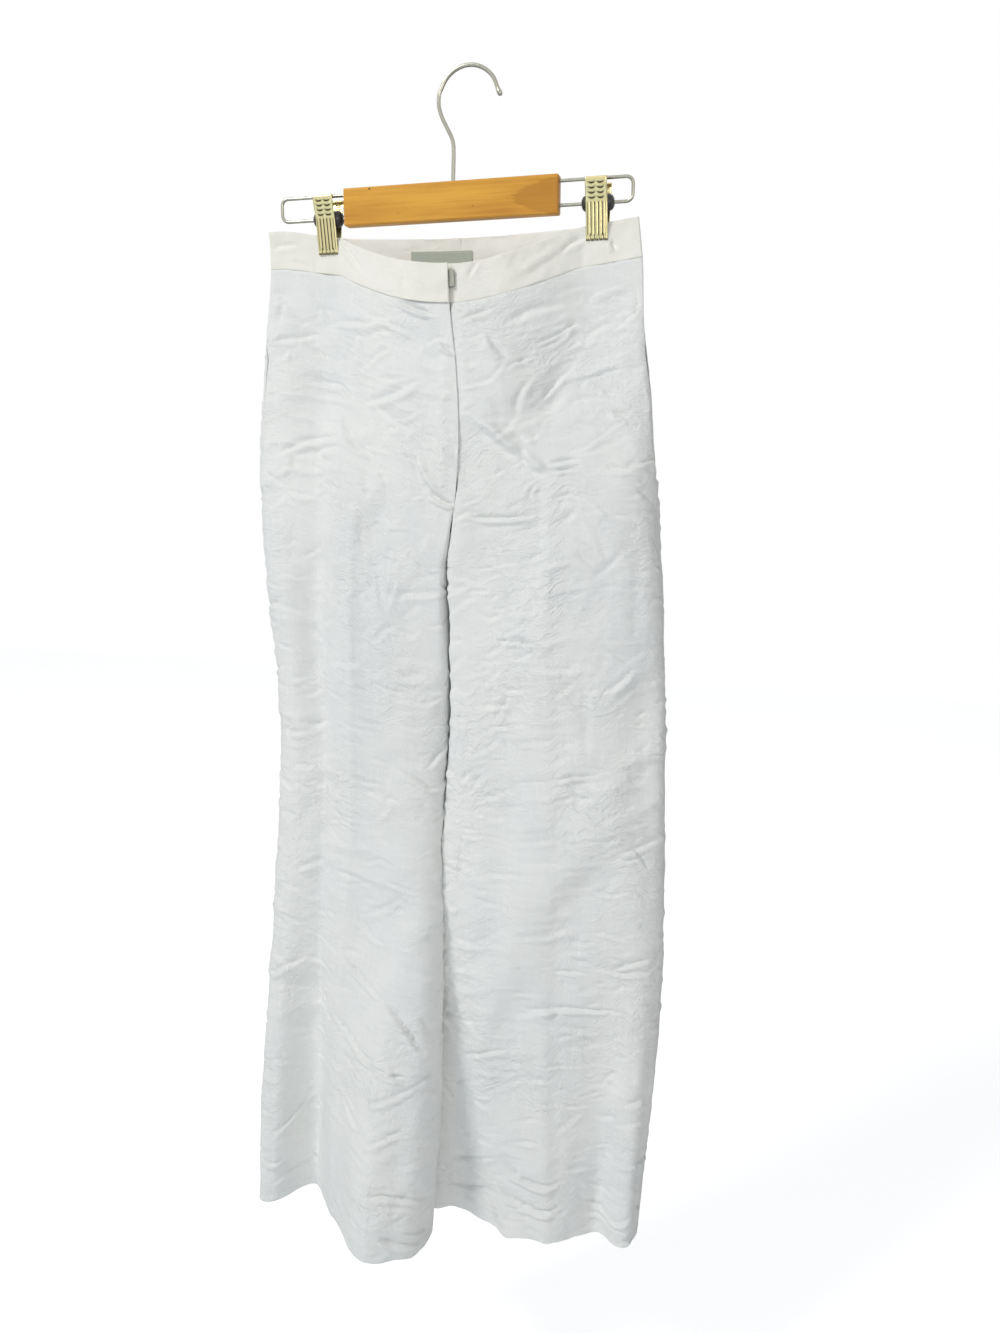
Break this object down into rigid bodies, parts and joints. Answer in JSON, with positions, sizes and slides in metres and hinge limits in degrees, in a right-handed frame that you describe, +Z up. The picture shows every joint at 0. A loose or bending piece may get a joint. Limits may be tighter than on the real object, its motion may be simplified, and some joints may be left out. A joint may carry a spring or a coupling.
{
  "type": "barrel leg trousers hanging from a clip hanger",
  "caption": "Wide barrel-leg linen trousers with pressed creases, a contour waistband and a concealed fly, clipped by the waist to a wood and wire hanger.",
  "frame": {"origin": "underside of the top of the hanger's hook, where it rests on a rail", "axes": "+Z up, the front of the trousers faces -Y, +X to the viewer's right seen from the front"},
  "size_m": [0.4244, 0.1634, 1.1385],
  "materials": {
    "linen": "soft off-white linen in plain weave with slubs, pressed, slightly creased",
    "pocketing": "fine plain-weave cotton",
    "label_satin": "satin ribbon with a soft sheen, blank",
    "zip_tape": "woven tape with a fine coil",
    "fastener_steel": "satin nickel plate",
    "wire_steel": "drawn wire, nickel plated, satin",
    "wood": "honey-coloured wood under a thin clear lacquer",
    "clip_metal": "stamped spring steel with a thin warm plate, glossy",
    "clip_barrel": "black, glossy"
  },
  "bodies": {
    "root": {"back_panel_left": "linen", "back_panel_right": "linen", "clip_back_plate_left": "clip_metal", "clip_back_plate_right": "clip_metal", "clip_barrel_left": "clip_barrel", "clip_barrel_right": "clip_barrel", "clip_front_plate_left": "clip_metal", "clip_front_plate_right": "clip_metal", "fly_shield": "linen", "front_panel_left": "linen", "front_panel_right": "linen", "hanger_bar": "wood", "hook": "wire_steel", "label": "label_satin", "pocket_bag_left": "pocketing", "pocket_bag_right": "pocketing", "waist_bar": "fastener_steel", "waist_hook": "fastener_steel", "waistband_back": "linen", "waistband_front_left": "linen", "waistband_front_right": "linen", "wire_loop_left": "wire_steel", "wire_loop_right": "wire_steel", "zip": "zip_tape", "zip_slider": "fastener_steel"}
  },
  "joints": []
}
